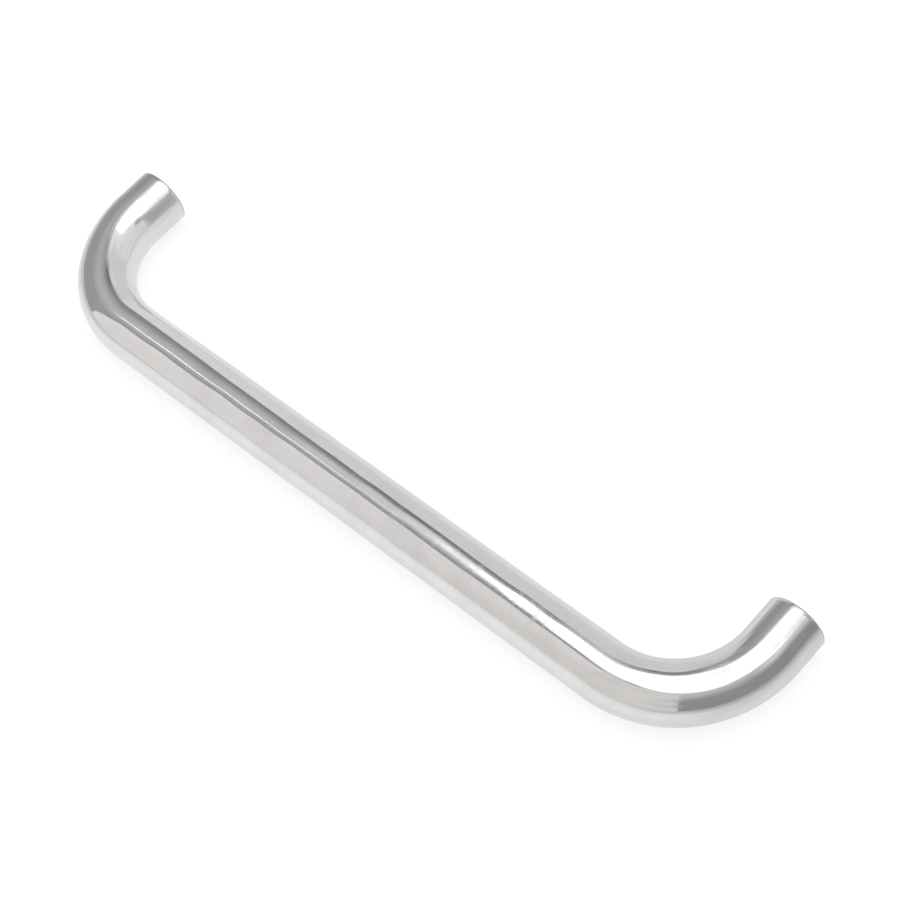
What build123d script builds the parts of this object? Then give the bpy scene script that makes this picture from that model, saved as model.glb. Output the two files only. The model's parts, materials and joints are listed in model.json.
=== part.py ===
from build123d import *
from math import radians, tan
import os

# Bridge pull handle: one length of polished stainless round bar with a bend at each end.
# Its two square-cut ends stand on the door or drawer front, and each is tapped for a screw
# that comes through the door from behind.
#
# Frame, in millimetres: the origin lies midway between the two tapped holes, on the plane
# of the ends. +X runs along the grip, +Y points into the door, and +Z is up, with the grip
# level. The handle lies on its side in this frame, as it does on a bench.

# The bar and its bends
bar_diameter = 22.0
hole_centres = 300.0       # between the axes of the two tapped holes
projection = 63.0          # from the plane of the ends to the front of the grip
inside_bend_radius = 27.0  # on the finger side of each bend
end_edge_break = 0.5       # chamfer round each sawn end

# The blind hole in each end, drilled at the tapping size of an M8 coarse thread
tap_drill_diameter = 6.8
tap_drill_depth = 22.0     # full diameter, measured from the end face
drill_point_angle = 118.0
countersink_diameter = 8.4
countersink_angle = 120.0

bar_radius = bar_diameter / 2
bend_radius = inside_bend_radius + bar_radius  # to the bar's centreline
grip_y = bar_radius - projection               # centreline of the grip
leg_x = hole_centres / 2                       # centreline of each leg, either side of the origin


def bar_centreline():
    """From one end up its leg, round a bend, along the grip, and round the other bend to the other end."""
    corners = [(-leg_x, 0), (-leg_x, grip_y), (leg_x, grip_y), (leg_x, 0)]
    return FilletPolyline(*corners, radius=bend_radius)


def bent_bar():
    """The round bar carried along its centreline, with the sharp edge of each sawn end broken."""
    path = bar_centreline()
    section = Plane(origin=path @ 0, z_dir=path % 0) * Circle(bar_radius)
    bar = sweep(section, path=path)
    end_faces = bar.faces().filter_by(GeomType.PLANE)
    return chamfer(end_faces.edges(), end_edge_break)


def drilled_cone(diameter, angle):
    """A cone of the given included angle that stands on the XY plane and narrows upwards to a point."""
    height = diameter / 2 / tan(radians(angle / 2))
    return Cone(diameter / 2, 0, height, align=(Align.CENTER, Align.CENTER, Align.MIN))


def tapped_hole():
    """The space of one blind hole, bored upwards from the origin: drill, drill point and countersink."""
    upright = (Align.CENTER, Align.CENTER, Align.MIN)
    bore = Cylinder(tap_drill_diameter / 2, tap_drill_depth, align=upright)
    point = Pos(Z=tap_drill_depth) * drilled_cone(tap_drill_diameter, drill_point_angle)
    countersink = drilled_cone(countersink_diameter, countersink_angle)
    return bore + point + countersink


def pull_handle():
    """The bent bar with a tapped hole up the middle of each leg."""
    handle = bent_bar()
    for x in (-leg_x, leg_x):
        up_the_leg = Plane(origin=(x, 0, 0), z_dir=(0, -1, 0))
        handle -= up_the_leg * tapped_hole()
    return handle


os.makedirs("parts", exist_ok=True)
export_step(pull_handle(), "parts/pull_handle.step")
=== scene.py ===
import bpy
import json
import numpy as np
from math import cos, pi, radians, sin, tan
from mathutils import Matrix, Vector


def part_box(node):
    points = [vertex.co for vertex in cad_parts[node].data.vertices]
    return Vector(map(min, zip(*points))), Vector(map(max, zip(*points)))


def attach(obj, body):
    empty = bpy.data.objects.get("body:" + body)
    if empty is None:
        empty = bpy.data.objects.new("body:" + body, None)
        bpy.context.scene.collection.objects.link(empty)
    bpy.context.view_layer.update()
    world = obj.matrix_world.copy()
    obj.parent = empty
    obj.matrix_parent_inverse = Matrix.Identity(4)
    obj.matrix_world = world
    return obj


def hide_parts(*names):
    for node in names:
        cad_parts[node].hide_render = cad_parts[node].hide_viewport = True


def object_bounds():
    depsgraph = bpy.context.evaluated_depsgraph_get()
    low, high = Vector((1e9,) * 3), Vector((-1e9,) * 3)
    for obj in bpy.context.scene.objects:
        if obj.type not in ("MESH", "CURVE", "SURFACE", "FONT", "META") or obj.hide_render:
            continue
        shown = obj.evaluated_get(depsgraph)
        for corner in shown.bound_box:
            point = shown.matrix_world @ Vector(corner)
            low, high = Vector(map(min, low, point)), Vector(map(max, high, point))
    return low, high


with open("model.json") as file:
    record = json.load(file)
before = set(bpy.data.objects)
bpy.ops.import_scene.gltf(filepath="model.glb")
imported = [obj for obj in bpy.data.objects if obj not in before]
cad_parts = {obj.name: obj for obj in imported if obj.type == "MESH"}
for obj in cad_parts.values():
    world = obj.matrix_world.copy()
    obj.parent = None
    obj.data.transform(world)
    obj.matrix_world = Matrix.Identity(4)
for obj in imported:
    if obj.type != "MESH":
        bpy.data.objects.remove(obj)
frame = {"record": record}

cad_box = [[float(value) for value in corner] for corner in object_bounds()]
box_low, box_high = (np.array(corner) for corner in cad_box)
box_middle = (box_low + box_high) / 2


# ---------------------------------------------------------------- the bar
# One length of solid round stainless bar, bent cold at both ends, sawn square, and drilled
# and tapped in each end for a screw from behind the door. It is one closed skin here, with
# three finishes: polished outside, sawn end faces, and cut threads in the holes.

bar_low, bar_high = (np.array(corner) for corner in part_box("pull_handle"))
mounts = {mount["name"]: mount for mount in frame["record"]["mounts"]}
fixing = mounts["fixing_holes"]["dims"]
bar_radius = (bar_high[2] - bar_low[2]) / 2
half_spacing = fixing["spacing_x_mm"] / 2000         # from the middle to each hole's axis
hole_radius = fixing["hole_r_mm"] / 1000
reach = bar_high[1] - bar_low[1] - bar_radius        # from the end faces to the grip's centre line
inside_bend = 0.027
bend_radius = inside_bend + bar_radius
leg = reach - bend_radius
grip = 2 * (half_spacing - bend_radius)
bend = bend_radius * pi / 2
bar_length = 2 * leg + 2 * bend + grip

edge_break = 0.0005              # the sawn edge is filed off
edge_fullness = 1.35             # 1 is a flat chamfer, 2 a quarter round
hole_depth = 0.022
drill_point = hole_radius / tan(radians(118 / 2))
mouth_radius = 0.0042            # the countersink at the mouth of the hole
mouth_depth = 0.00046            # its cone meets the drilled wall here
mouth_slope = tan(radians(120 / 2))
thread_pitch = 0.00125
thread_height = 0.00062
thread_full, thread_gone = 0.0135, 0.0155    # the thread runs out between these depths
thread_start = 0.0005            # no ring of it lies nearer the face
around_count = 128               # corners in each ring
rings_per_turn = 10              # of the thread
leg_count, bend_count, grip_count, edge_count, mouth_count = 14, 90, 150, 11, 5     # rings in each run

wave_lengths = (0.017, 0.023, 0.031, 0.044, 0.061, 0.09)
wave_lobes = (3, 4, 5, 4, 3, 2)  # how often each wave comes round the bar
wave_cut = 0.000022
ripple_length, ripple_cut = 0.0053, 0.000012
polish_fade = 0.030              # the waves die out over this length at each end


def carried_along(travel, inset, radius, around):
    """A profile carried along the bar. At a distance travel along the centre line the bar has
    turned by psi, its direction is T = (sin psi, -cos psi, 0) and the side towards the fingers
    is N = (cos psi, sin psi, 0). The point is C(travel) + inset T + radius (cos a N + sin a Z)."""
    first = np.clip((travel - leg) / bend_radius, 0, pi / 2)
    second = np.clip((travel - leg - bend - grip) / bend_radius, 0, pi / 2)
    along_grip = np.clip(travel - leg - bend, 0, grip)
    down_leg = np.minimum(travel, leg)
    up_leg = np.maximum(travel - (bar_length - leg), 0)
    centre_x = -half_spacing + bend_radius * (1 - np.cos(first)) + along_grip \
        + bend_radius * np.sin(second)
    centre_y = bar_high[1] - down_leg - bend_radius * np.sin(first) \
        + bend_radius * (1 - np.cos(second)) + up_leg
    psi = first + second
    side = radius * np.cos(around)
    return np.stack([centre_x + inset * np.sin(psi) + side * np.cos(psi),
                     centre_y - inset * np.cos(psi) + side * np.sin(psi),
                     box_middle[2] + radius * np.sin(around) + 0 * psi], -1)


def hand_polish(travel, around):
    """How far the mop and belt have cut into a true round, in metres: a few long shallow waves,
    each wave_cut (1 + cos(2 pi travel / length + lobes a + start)) / 2 deep, and short ripples of
    the same form, left by the former on the inside of each bend. It is nothing at the two ends."""
    draw = np.random.default_rng(22)
    cut = np.zeros(np.broadcast(travel, around).shape)
    for length, lobes in zip(wave_lengths, wave_lobes):
        start = draw.uniform(0, 2 * pi)
        cut += wave_cut * (1 + np.cos(2 * pi * travel / length + lobes * around + start)) / 2
    from_bend_middle = np.minimum(np.abs(travel - leg - bend / 2),
                                  np.abs(travel - bar_length + leg + bend / 2))
    on_inside = np.clip(np.cos(around), 0, 1) ** 2 * np.clip(1.2 - 2 * from_bend_middle / bend, 0, 1)
    swerve = 0.6 * np.sin(3 * around)
    cut += ripple_cut * on_inside * (1 + np.cos(2 * pi * travel / ripple_length + swerve)) / 2
    from_end = np.clip(np.minimum(travel, bar_length - travel) / polish_fade, 0, 1)
    return cut * from_end ** 2 * (3 - 2 * from_end)


def thread_rise(inset, around):
    """The thread's depth beyond the drilled wall, in metres. Along the hole the groove is a
    trapezium, one eighth of the pitch wide at its floor and three quarters at its mouth, and
    its place turns with the angle once in every pitch, which makes it right-handed."""
    phase = (inset / thread_pitch - around / (2 * pi)) % 1
    from_floor = np.abs(2 * phase - 1)
    run_out = np.clip((thread_gone - np.abs(inset)) / (thread_gone - thread_full), 0, 1)
    return thread_height * run_out * np.clip((3 / 4 - from_floor) / (3 / 4 - 1 / 8), 0, 1)


# One end of the bar as rings (travel, inset, radius), from the bottom of the hole outwards:
# the drilled wall, the thread, the countersink, the sawn face and the filed edge. The edge is
# edge_break (1 - cos q ^ p) along the bar and (1 - sin q ^ p) across it, with p from its fullness.
drilled_rings = [hole_depth, 0.0215, 0.0185, 0.0160]
thread_rings = np.arange(thread_gone, thread_start, -thread_pitch / rings_per_turn)
mouth_rings = np.linspace(mouth_depth, 0, mouth_count)
face_rings = np.array([0.0043, 0.0052, 0.0068, 0.0084, 0.0098, 0.01043, 0.0105])
quarter = np.linspace(0, pi / 2, edge_count)[1:]
hole_insets = np.concatenate([drilled_rings, thread_rings, mouth_rings])
edge_travel = edge_break * (1 - np.cos(quarter) ** (2 / edge_fullness))
edge_radius = bar_radius - edge_break * (1 - np.sin(quarter) ** (2 / edge_fullness))
end_travel = np.concatenate([0 * hole_insets, 0 * face_rings, edge_travel])
end_inset = np.concatenate([hole_insets, 0 * face_rings, 0 * edge_travel])
end_radius = np.concatenate([hole_radius + 0 * hole_insets, face_rings, edge_radius])

# The skin between the two ends, with closer rings round the bends.
skin_travel = np.concatenate([
    np.linspace(edge_break, leg, leg_count)[1:-1],
    np.linspace(leg, leg + bend, bend_count),
    np.linspace(leg + bend, leg + bend + grip, grip_count)[1:-1],
    np.linspace(leg + bend + grip, bar_length - leg, bend_count),
    np.linspace(bar_length - leg, bar_length - edge_break, leg_count)[1:-1]])

ring_travel = np.concatenate([end_travel, skin_travel, bar_length - end_travel[::-1]])[:, None]
ring_inset = np.concatenate([end_inset, 0 * skin_travel, -end_inset[::-1]])[:, None]
ring_radius = np.concatenate([end_radius, bar_radius + 0 * skin_travel, end_radius[::-1]])[:, None]
around = (np.arange(around_count) * 2 * pi / around_count)[None, :]

in_hole = (ring_inset != 0) | (ring_radius <= hole_radius)
countersink = mouth_radius - mouth_slope * np.abs(ring_inset)
hole_wall = np.maximum(hole_radius + thread_rise(ring_inset, around), countersink)
outside = ring_radius - hand_polish(ring_travel, around) * (ring_radius >= bar_radius)
skin_radius = np.where(in_hole, hole_wall, outside)

rings = carried_along(ring_travel, ring_inset, skin_radius, around)
tip_inset = hole_depth + drill_point
tips = carried_along(np.array([0, bar_length]), np.array([tip_inset, -tip_inset]), 0, 0)
skin_points = np.concatenate([tips[:1], rings.reshape(-1, 3), tips[1:]])

# Where each point would be on the straight bar, before bending: the finishes follow this.
straight = np.stack([ring_travel + ring_inset + 0 * around, skin_radius * np.cos(around),
                     skin_radius * np.sin(around)], -1).reshape(-1, 3)
straight_tips = np.array([[tip_inset, 0, 0], [bar_length - tip_inset, 0, 0]])
straight_points = np.concatenate([straight_tips[:1], straight, straight_tips[1:]])

ring_count = len(ring_travel)
corner = 1 + np.arange(ring_count)[:, None] * around_count + np.arange(around_count)[None, :]
next_round = np.roll(corner, -1, axis=1)
strips = np.stack([corner[:-1], next_round[:-1], next_round[1:], corner[1:]], -1).reshape(-1, 4)
left_tip, right_tip = np.zeros(around_count, int), np.full(around_count, len(skin_points) - 1)
left_fan = np.stack([left_tip, next_round[0], corner[0]], -1)
right_fan = np.stack([corner[-1], next_round[-1], right_tip], -1)

bar_mesh = bpy.data.meshes.new("bent_bar")
bar_mesh.from_pydata(skin_points.tolist(), [], left_fan.tolist() + strips.tolist() + right_fan.tolist())
bar_place = bar_mesh.attributes.new("bar_place", "FLOAT_VECTOR", "POINT")
bar_place.data.foreach_set("vector", straight_points.astype(np.float32).ravel())

# Each strip of faces takes its finish from the two rings that it joins. The saw's finish
# reaches just onto the filed edge.
polished, sawn, threaded = 0, 1, 2
sawn_to = bar_radius - 0.9 * edge_break
flat_ring = (ring_radius[:, 0] < sawn_to) & ~in_hole[:, 0]
ring_finish = np.where(in_hole[:, 0], threaded, np.where(flat_ring, sawn, polished))
strip_finish = np.where((ring_finish[:-1] == polished) | (ring_finish[1:] == polished), polished,
                        np.minimum(ring_finish[:-1], ring_finish[1:]))
fan_finish = np.full(around_count, threaded)
finishes = np.concatenate([fan_finish, np.repeat(strip_finish, around_count), fan_finish])
bar_mesh.polygons.foreach_set("material_index", finishes.astype(np.int32))
bar_mesh.shade_smooth()
bar_mesh.set_sharp_from_angle(angle=radians(32))
bar_mesh.validate()


class Wire:
    """One output of a shader node. Arithmetic between wires and numbers adds Math nodes."""

    def __init__(self, tree, socket):
        self.tree, self.socket = tree, socket

    def node(self, kind, settings=(), inputs=(), output=0):
        """Adds a shader node: settings first (stops are a ramp's), then its sockets."""
        made = self.tree.nodes.new("ShaderNode" + kind)
        for name, value in dict(settings).items():
            if name == "stops":
                ramp = made.color_ramp
                ramp.elements.remove(ramp.elements[1])
                ramp.elements[0].position, ramp.elements[0].color = value[0]
                for position, colour in value[1:]:
                    ramp.elements.new(position).color = colour
            else:
                setattr(made, name, value)
        for name, value in dict(inputs).items():
            if isinstance(value, Wire):
                self.tree.links.new(value.socket, made.inputs[name])
            else:
                made.inputs[name].default_value = value
        return Wire(self.tree, made.outputs[output])

    def maths(self, operation, *values):
        """A Math node's operation on the given values, each a wire or a number."""
        return self.node("Math", {"operation": operation}, dict(enumerate(values)))

    def __add__(self, other): return self.maths("ADD", self, other)
    def __radd__(self, other): return self.maths("ADD", other, self)
    def __sub__(self, other): return self.maths("SUBTRACT", self, other)
    def __rsub__(self, other): return self.maths("SUBTRACT", other, self)
    def __mul__(self, other): return self.maths("MULTIPLY", self, other)
    def __rmul__(self, other): return self.maths("MULTIPLY", other, self)

    def band(self, low, high):
        """0 below low, 1 above high, and a smooth step between."""
        return self.node("MapRange", {"interpolation_type": "SMOOTHSTEP"},
                         {"Value": self, "From Min": low, "From Max": high})

    def coordinate(self, axis):
        """One coordinate of a place: axis 0 is x, 1 is y and 2 is z."""
        return self.node("SeparateXYZ", inputs={0: self}, output=axis)

    def distance(self, point):
        """How far this place is from a point: the root of the sum of the squared differences."""
        return self.node("VectorMath", {"operation": "DISTANCE"}, {0: self, 1: point}, output=1)

    def stretched(self, by):
        """This place with each coordinate multiplied by its own factor."""
        return self.node("VectorMath", {"operation": "MULTIPLY"}, {0: self, 1: by})

    def noise(self, cells, detail=2.0, roughness=0.5):
        """Noise from 0 to 1 with so many cells to the metre along each axis."""
        return self.node("TexNoise", inputs={"Vector": self.stretched(cells), "Scale": 1.0,
                                             "Detail": detail, "Roughness": roughness})

    def blend(self, first, second):
        """A colour from first, where this wire is 0, to second, where it is 1."""
        return self.node("Mix", {"data_type": "RGBA"}, {0: self, 6: first, 7: second}, output=2)

    def bump(self, strength):
        """The surface's normal, tilted by the slope of this wire as a height in millimetres."""
        return self.node("Bump", inputs={"Height": self, "Distance": 0.001, "Strength": strength})


def metal(name):
    """A bare metal material, its shader node, and a wire to the place on the straight bar."""
    made = bpy.data.materials.new(name)
    made.use_nodes = True
    shader = made.node_tree.nodes["Principled BSDF"]
    shader.inputs["Metallic"].default_value = 1.0
    start = Wire(made.node_tree, None)
    return made, shader, start.node("Attribute", {"attribute_name": "bar_place"}, output=1)


def feed(shader, **wires):
    """Links each wire to the shader's socket of that name, with _ for a space."""
    for name, wire in wires.items():
        wire.tree.links.new(wire.socket, shader.inputs[name.replace("_", " ")])


# The outside is ground round and round with finer and finer belts and then mopped to a mirror.
# The straight keeps hair lines across the bar. The bends are rubbed by hand along their length, which
# leaves streaks and a patchy haze. The last of each leg is darker with painted shade.
polished_steel = (0.745, 0.743, 0.739, 1)
hazy_steel = (0.695, 0.693, 0.688, 1)
# The marks, and the painted shade at each end, darken towards the next colour.
mark_and_shade_steel = (0.60, 0.60, 0.60, 1)
# The filed edge takes painted shade, which dims the light rim it mirrors.
shaded_filed_steel = (0.42, 0.42, 0.42, 1)
mirror_roughness = 0.055
mirror, shader, place = metal("mirror_polish")
along = place.coordinate(0)
from_middle = along.maths("ABSOLUTE", along - bar_length / 2)
filed_from = bar_length / 2 - edge_break
past_grip = from_middle.band(grip / 2 - 0.008, grip / 2 + 0.010)
in_leg = from_middle.band(grip / 2 + bend - 0.022, grip / 2 + bend + 0.004)
# Painted shade: the last of each leg is darker.
at_end = from_middle.band(bar_length / 2 - 0.014, bar_length / 2 - 0.002)
# The filed edge is a real rounding, and carries painted shade.
filed = from_middle.band(filed_from - 0.0003, filed_from + 0.0001)
across = 1 - past_grip * 0.80

hair_lines = place.noise((1500, 60, 60), detail=3, roughness=0.7)
belt_lines = place.noise((750, 40, 40), detail=3, roughness=0.7)
streaks = place.noise((40, 900, 900), detail=3, roughness=0.65)
speckle = place.noise((1100, 900, 900), detail=2, roughness=0.6)
haze = place.noise((55, 90, 90), detail=3, roughness=0.62).band(0.40, 0.74)
scratches = place.noise((28, 2400, 2400), detail=1).band(0.74, 0.80)
soft_wave = place.noise((60, 130, 130), detail=1)
rubbed = belt_lines.band(0.50, 0.70) * across * 0.13 + streaks.band(0.50, 0.72) * past_grip * 0.14
marks_and_end_shade = hair_lines.band(0.40, 0.70) * across * 0.20 + streaks.band(0.42, 0.68) * past_grip * 0.28 \
    + speckle.band(0.45, 0.75) * 0.11 + scratches * 0.15 + at_end * 0.12
finish_height = soft_wave * 0.030 + belt_lines * across * 0.008 + hair_lines * across * 0.003 \
    + streaks * past_grip * 0.003 - scratches * 0.0010
unmarked = haze.blend(polished_steel, hazy_steel)
feed(shader,
     Base_Color=filed.blend(marks_and_end_shade.blend(unmarked, mark_and_shade_steel), shaded_filed_steel),
     Roughness=mirror_roughness + haze * 0.05 + past_grip * haze * 0.08 + in_leg * 0.03
     + scratches * 0.08 + rubbed,
     Normal=finish_height.bump(1.0))
bar_mesh.materials.append(mirror)

# The end faces keep the arcs of the saw blade, whose axis is well outside the bar.
saw_centre = (0.0, 0.085, -0.055)
saw_turn = 14000.0               # radians of the ridges to the metre, one ridge each 0.45 mm
sawn_steel = (0.60, 0.59, 0.575, 1)
sawn_bright = (0.72, 0.71, 0.70, 1)
sawn_face, shader, place = metal("sawn_face")
saw_wander = place.noise((0, 160, 160)) * 9.0
from_saw = place.distance(saw_centre)
saw_arc = from_saw.maths("SINE", from_saw * saw_turn + saw_wander)
saw_grain = place.noise((0, 900, 900), detail=4, roughness=0.7)
feed(shader,
     Base_Color=saw_grain.band(0.35, 0.65).blend(sawn_steel, sawn_bright),
     Roughness=0.30 + saw_grain * 0.20,
     Normal=(saw_arc * 0.006 + saw_grain * 0.010).bump(0.8))
bar_mesh.materials.append(sawn_face)

# The holes keep the fine rings that the drill and the tap leave.
cut_dark = (0.42, 0.41, 0.40, 1)
cut_bright = (0.62, 0.61, 0.59, 1)
cut_thread, shader, place = metal("cut_thread")
tool_marks = place.noise((9000, 260, 260), detail=2, roughness=0.6)
feed(shader,
     Base_Color=tool_marks.band(0.35, 0.65).blend(cut_dark, cut_bright),
     Roughness=0.26 + tool_marks * 0.20,
     Normal=(tool_marks * 0.006).bump(0.7))
bar_mesh.materials.append(cut_thread)

bent_bar = bpy.data.objects.new("bent_bar", bar_mesh)
bpy.context.scene.collection.objects.link(bent_bar)
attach(bent_bar, "root")
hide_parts("pull_handle")


# ---------------------------------------------------------------- bench top
# The handle lies on its side on a bench top covered in white paper. Where the bar mirrors the paper, the
# paper's glow carries painted shade, darker where the handle would shade it and at both ends of the
# bench. From below the paper is clear, so that the handle can be seen from there too.

def stage_sheet(name, points, faces):
    """A thin sheet that belongs to the studio and not to the handle."""
    mesh = bpy.data.meshes.new(name)
    mesh.from_pydata(np.asarray(points, float).reshape(-1, 3).tolist(), [], faces)
    sheet = bpy.data.objects.new(name, mesh)
    bpy.context.scene.collection.objects.link(sheet)
    return sheet


def stage_finish(name):
    """An empty material, with a wire to the sheet's own place."""
    made = bpy.data.materials.new(name)
    made.use_nodes = True
    made.node_tree.nodes.clear()
    return made, Wire(made.node_tree, None).node("TexCoord", output=3)


def rays(start):
    """Two wires: 1 for what the camera sees itself, and 1 for what it sees in a mirror or glass."""
    path = start.node("LightPath").socket.node
    camera_ray, mirror_ray, glass_ray = (Wire(start.tree, path.outputs[kind]) for kind in
                                         ("Is Camera Ray", "Is Glossy Ray", "Is Transmission Ray"))
    return camera_ray, mirror_ray.maths("MAXIMUM", mirror_ray, glass_ray)


def surface(shader_wire):
    """Ends a material with this shader."""
    end = shader_wire.tree.nodes.new("ShaderNodeOutputMaterial")
    shader_wire.tree.links.new(shader_wire.socket, end.inputs["Surface"])


def by_place(along, stops):
    """A colour that follows the stops (place, colour) along one axis, straight between them."""
    first, last = stops[0][0], stops[-1][0]
    part = along.node("MapRange", inputs={"Value": along, "From Min": first, "From Max": last})
    in_parts = [((at - first) / (last - first), (*shade, 1)) for at, shade in stops]
    return part.node("ValToRGB", {"stops": in_parts}, {0: part})


def grey(level):
    """A colour with all three parts at one level."""
    return level, level, level


bench_reach = 6.0
floor = box_low[2]
bench = stage_sheet("bench_top", [(x, y, floor) for x, y in (
    (-bench_reach, -bench_reach), (bench_reach, -bench_reach),
    (bench_reach, bench_reach), (-bench_reach, bench_reach))], [(0, 1, 2, 3)])
bench_paper, place = stage_finish("bench_paper")
lengthways, wallwards = place.coordinate(0), place.coordinate(1)
long_and_thin = (0.4, 1, 1)      # distances count for less along the handle
right_foot = (box_high[0] - 0.03, 0, floor)
from_handle = place.stretched(long_and_thin).distance(tuple(box_middle))
from_right_foot = place.distance(right_foot)

# How much painted shade darkens the paper's glow where the bar mirrors it, place by place.
finger_shade = wallwards.band(-0.09, -0.05) * by_place(lengthways, (
    (-0.20, grey(0.06)), (-0.12, grey(0.06)), (-0.08, grey(0.14)),
    (0.10, grey(0.15)), (0.14, grey(0.12)), (0.165, grey(0.08))))
end_shade = by_place(lengthways, (
    (-0.60, grey(0.10)), (-0.30, grey(0.32)), (-0.16, grey(0)), (0.14, grey(0)),
    (0.185, grey(0.10)), (0.21, grey(0.20)), (0.26, grey(0.34))))
far_shade = from_handle.band(0.05, 0.20) * 0.09
left_leg_shade = (1 - lengthways.band(-0.165, -0.150)) * wallwards.band(-0.004, 0.015) \
    * (1 - wallwards.band(0.04, 0.10)) * 0.16
right_leg_shade = (1 - from_right_foot.band(0.015, 0.05)) * 0.10
paper_glow_with_painted_shade = 0.80 - finger_shade - end_shade - far_shade - left_leg_shade - right_leg_shade
seen_white = 0.80 + from_handle.band(0.5, 2.0) * 0.06

# The paper is matt, so it keeps the handle's shadow, and glows just enough to look white.
seen, mirrored = rays(place)
lit = place.node("BsdfDiffuse", inputs={"Color": (*grey(0.22), 1)})
# Where the bar mirrors it, the glow carries that painted shade.
glow = place.node("Emission", inputs={"Color": seen * seen_white + mirrored * paper_glow_with_painted_shade})
above = place.node("AddShader", inputs={0: lit, 1: glow})
from_below = place.node("NewGeometry", output="Backfacing")
clear = place.node("BsdfTransparent")
surface(place.node("MixShader", inputs={0: from_below, 1: above, 2: clear}))
bench.data.materials.append(bench_paper)


# ---------------------------------------------------------------- cards
# What a mirror finish needs round it: pale cards and a soft box, cut and hung so that each shows as a
# clean band along the bar. Only the bar sees them. They cast no shadow and throw no light on the bench.

def lit_card(name, faces, at, outline, light, along=0):
    """A flat card that faces along one axis (0 is x, 1 is y, 2 is z) at one place on it. Its
    outline gives the other two coordinates of each corner. Its light is one colour, or the
    stops (place, colour) of a colour that changes along another axis."""
    corners = [(*pair[:faces], at, *pair[faces:]) for pair in outline]
    card = stage_sheet(name, corners, [tuple(range(len(corners)))])
    paper, place = stage_finish(name)
    even = isinstance(light[0], float)
    colour = (*light, 1) if even else by_place(place.coordinate(along), light)
    surface(place.node("Emission", inputs={"Color": colour}))
    card.data.materials.append(paper)
    card.visible_camera = card.visible_diffuse = card.visible_shadow = False


# The long card in front, on the fingers' side.
lit_card("front_card", 1, -1.10, ((-1.80, floor), (0.93, floor), (0.93, 2.0), (-1.95, 3.3)),
         ((-1.95, (0.97, 0.94, 0.935)), (-0.95, (0.89, 0.867, 0.857)), (-0.76, (0.905, 0.882, 0.871)),
          (-0.64, (0.895, 0.873, 0.864)), (-0.38, (0.81, 0.783, 0.77)), (-0.20, (0.83, 0.805, 0.795)),
          (0.40, (0.84, 0.82, 0.80)), (0.93, (0.80, 0.78, 0.765))))

# The long card behind, with a notched top, and a brighter one hung before its upper part.
lit_card("back_card", 1, 1.10, ((-1.50, floor), (1.62, floor), (1.62, 1.35), (1.00, 1.30), (0.00, 1.20),
                                (-0.40, 1.85), (-0.56, 1.66), (-0.66, 1.40), (-1.06, 1.06)),
         ((-1.50, (0.86, 0.865, 0.87)), (-1.0, (0.84, 0.845, 0.85)), (-0.62, grey(0.775)),
          (-0.38, grey(0.785)), (-0.05, (0.93, 0.915, 0.905)), (1.00, (0.90, 0.885, 0.87)),
          (1.62, (0.86, 0.85, 0.83))))
lit_card("high_card", 1, 1.05, ((-0.27, 0.74), (0.04, 0.80), (0.40, 0.98), (1.0, 1.27), (1.0, 1.90),
                                (0.82, 1.75), (0.25, 1.33), (-0.20, 1.75), (-0.56, 2.1), (-0.56, 1.5)),
         (0.96, 0.955, 0.95))

# Small cards close to the two legs: a wing behind the left one, and past the right one a dark
# card with a lighter one behind it.
lit_card("back_wing", 1, 0.29, ((-0.72, floor), (-0.68, 0.17), (-0.56, 0.17), (-0.392, 0.235),
                                (-0.356, 0.31), (-0.328, 0.345), (-0.266, 0.385), (-0.225, 0.37),
                                (-0.20, 0.43), (-0.15, 0.43), (-0.12, 0.22), (-0.05, floor)),
         ((-0.66, grey(0.52)), (-0.60, grey(0.56)), (-0.48, grey(0.72)), (-0.41, grey(0.88)),
          (-0.34, grey(0.88)), (-0.19, grey(0.80)), (-0.05, grey(0.785))))
lit_card("side_card", 0, 0.3, ((0.115, floor), (0.18, floor), (0.20, 0.25), (0.25, 0.47),
                               (0.195, 0.47), (0.165, 0.42), (0.125, 0.25)),
         ((0.04, grey(0.66)), (0.17, grey(0.53)), (0.40, grey(0.53))), along=2)
lit_card("side_light", 0, 0.305, ((0.17, floor), (0.34, floor), (0.34, 0.36), (0.22, 0.36), (0.19, 0.25)),
         grey(0.85))

# The lights themselves: a narrow strip light past the left end, and the wide soft box
# overhead, with a grey skirt along its left side.
lit_card("strip_light", 0, -1.2, ((-0.085, 1.28), (-0.065, 1.6), (-0.071, 2.3), (-0.088, 2.8),
                                  (-0.105, 2.3), (-0.111, 1.6)), grey(2.6))
box_height = 2.0
lit_card("soft_box", 2, box_height, ((-0.70, -0.50), (-0.25, -0.66), (0.35, -0.92), (1.12, -0.74),
                                     (1.30, -0.40), (1.41, 0.10), (1.41, 0.92), (0.98, 1.24),
                                     (0.42, 1.60), (-0.50, 1.00), (-0.80, 0.94), (-0.93, 0.55),
                                     (-0.90, 0.15)), grey(1.5))
lit_card("box_skirt", 2, box_height + 0.01, ((-1.22, 0.02), (-0.80, 0.02), (-0.84, 0.76), (-0.94, 0.84),
                                             (-1.05, 0.96), (-1.24, 0.72)),
         ((-1.22, grey(0.66)), (-0.90, grey(0.85))))


# ---------------------------------------------------------------- dim room
# The room behind the cards, as a dome that only the bar sees. It is dim low down, where the
# gaps between the cards show it as dark lines, and paler towards the ceiling.

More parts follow.
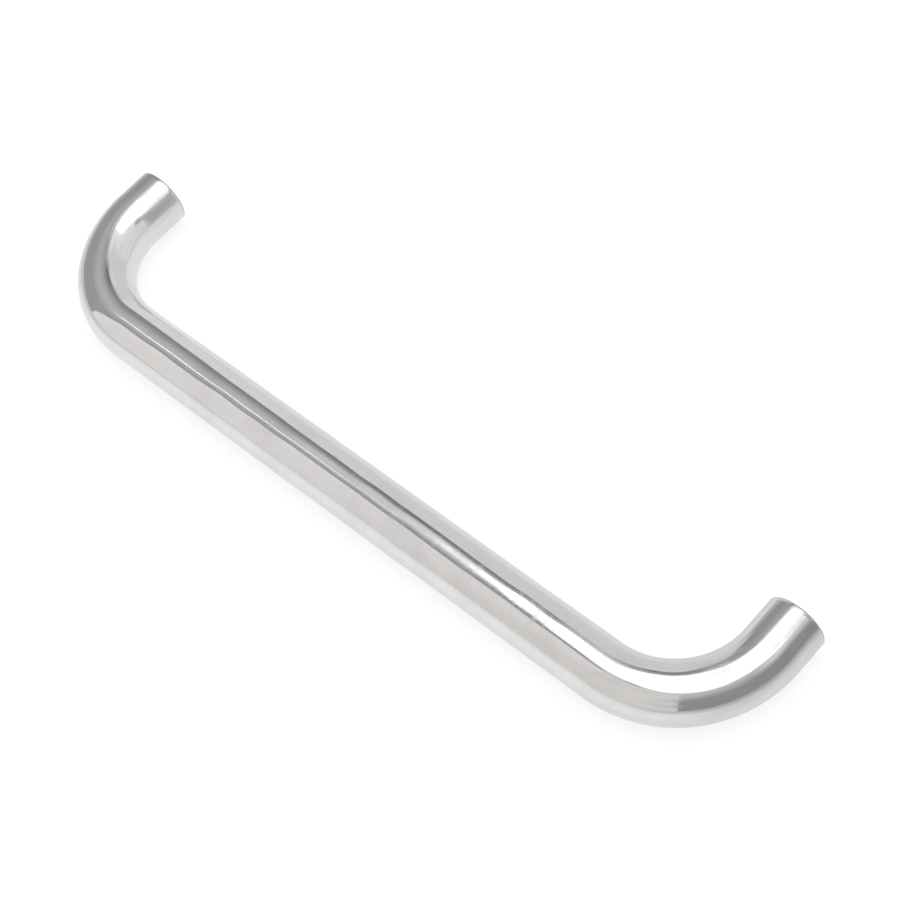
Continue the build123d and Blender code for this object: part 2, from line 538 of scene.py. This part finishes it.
room_reach = 4.0
room_turns, room_rises = 49, 13
turns, rises = np.meshgrid(np.linspace(0, 2 * pi, room_turns), np.linspace(0, pi / 2, room_rises))
room_points = room_reach * np.stack([np.cos(turns) * np.cos(rises), np.sin(turns) * np.cos(rises),
                                     np.sin(rises)], -1)
room_corner = np.arange(turns.size).reshape(turns.shape)
room_faces = np.stack([room_corner[:-1, :-1], room_corner[1:, :-1], room_corner[1:, 1:],
                       room_corner[:-1, 1:]], -1).reshape(-1, 4)
room = stage_sheet("dim_room", room_points, room_faces.tolist())
room_paper, place = stage_finish("dim_room")
east, north, height = (place.coordinate(axis) for axis in range(3))
compass = east.maths("ARCTAN2", east, 0 - north) * (0.5 / pi) + 0.5     # 0 to 1 once round
rise = height * (1 / room_reach)


def round_the_room(levels):
    """The room's brightness round the compass: 0 degrees is in front, 90 at the right-hand end.
    It is a trace bluer than grey."""
    stops = [((degrees + 180) / 360, (level * 0.99, level, level * 1.01, 1)) for degrees, level in levels]
    return compass.node("ValToRGB", {"stops": stops}, {0: compass})


low_down = round_the_room(((-180, 0.40), (-150, 0.30), (-128, 0.31), (-105, 0.41), (-57, 0.42),
                           (30, 0.35), (95, 0.35), (112, 0.33), (130, 0.42)))
high_up = round_the_room(((-180, 0.30), (-146, 0.15), (-138, 0.23), (-128, 0.42), (-112, 0.56),
                          (-95, 0.62), (-75, 0.55), (-66, 0.40), (-57, 0.37), (30, 0.62), (92, 0.62),
                          (108, 0.95), (121, 0.95), (127, 0.60), (150, 0.35)))
overhead = round_the_room(((-180, 0.95), (-150, 0.92), (-146, 0.75), (-142.5, 0.50), (-139, 0.36),
                           (-132, 0.42), (-112, 0.56), (-95, 0.62), (-75, 0.55), (-66, 0.40),
                           (-57, 0.37), (30, 0.62), (120, 0.62), (150, 0.90)))
walls = rise.band(0.50, 0.80).blend(low_down, high_up)
room_colour = rise.band(0.755, 0.785).blend(walls, overhead)
surface(place.node("Emission", inputs={"Color": room_colour}))
room.data.materials.append(room_paper)
room.visible_camera = room.visible_diffuse = room.visible_shadow = False


# ---------------------------------------------------------------- light and white studio
# The light of the soft box falls from a round lamp in it. The plain white studio round
# everything fills the shadows, and is full white where it is looked at or mirrored.

lamp_size, lamp_power = 2.2, 25.0
box_light = bpy.data.lights.new("soft_box_light", "AREA")
box_light.shape, box_light.size = "DISK", lamp_size
box_light.energy = lamp_power
lamp = bpy.data.objects.new("soft_box_light", box_light)
lamp.location = (0.18, 0.15, box_height - 0.01)
lamp.visible_camera = lamp.visible_glossy = False
bpy.context.scene.collection.objects.link(lamp)

fill_light = 0.65
world = bpy.data.worlds.new("white_studio")
bpy.context.scene.world = world
world.use_nodes = True
world.node_tree.nodes.clear()
seen, mirrored = rays(Wire(world.node_tree, None))
sky_strength = (seen + mirrored) * (1 - fill_light) + fill_light
sky = seen.node("Background", inputs={"Color": (1, 1, 1, 1), "Strength": sky_strength})
end = world.node_tree.nodes.new("ShaderNodeOutputWorld")
world.node_tree.links.new(sky.socket, end.inputs["Surface"])
bpy.context.scene.view_settings.view_transform = "Standard"


# ---------------------------------------------------------------- camera
# The camera looks down on the handle from beyond its right-hand end, with a long lens, and is
# rolled so that the grip falls from left to right.

camera_azimuth, camera_elevation, camera_roll = radians(54.886), radians(56.473), radians(-15.222)
camera_distance = 0.76317
camera_lens = 88.13              # on a 36 mm sensor
aim_from_middle = Vector((0.01447, 0.01304, -0.00287))

towards_camera = Vector((sin(camera_azimuth) * cos(camera_elevation),
                         -cos(camera_azimuth) * cos(camera_elevation),
                         sin(camera_elevation)))
level_right = Vector((cos(camera_azimuth), sin(camera_azimuth), 0))
level_up = towards_camera.cross(level_right)
camera_right = level_right * cos(camera_roll) + level_up * sin(camera_roll)
camera_up = towards_camera.cross(camera_right)

camera = bpy.data.objects.new("camera", bpy.data.cameras.new("camera"))
camera.data.lens = camera_lens
turned = Matrix((camera_right, camera_up, towards_camera)).transposed().to_4x4()
aim = Vector(box_middle) + aim_from_middle
camera.matrix_world = Matrix.Translation(aim + towards_camera * camera_distance) @ turned
bpy.context.scene.collection.objects.link(camera)
bpy.context.scene.camera = camera
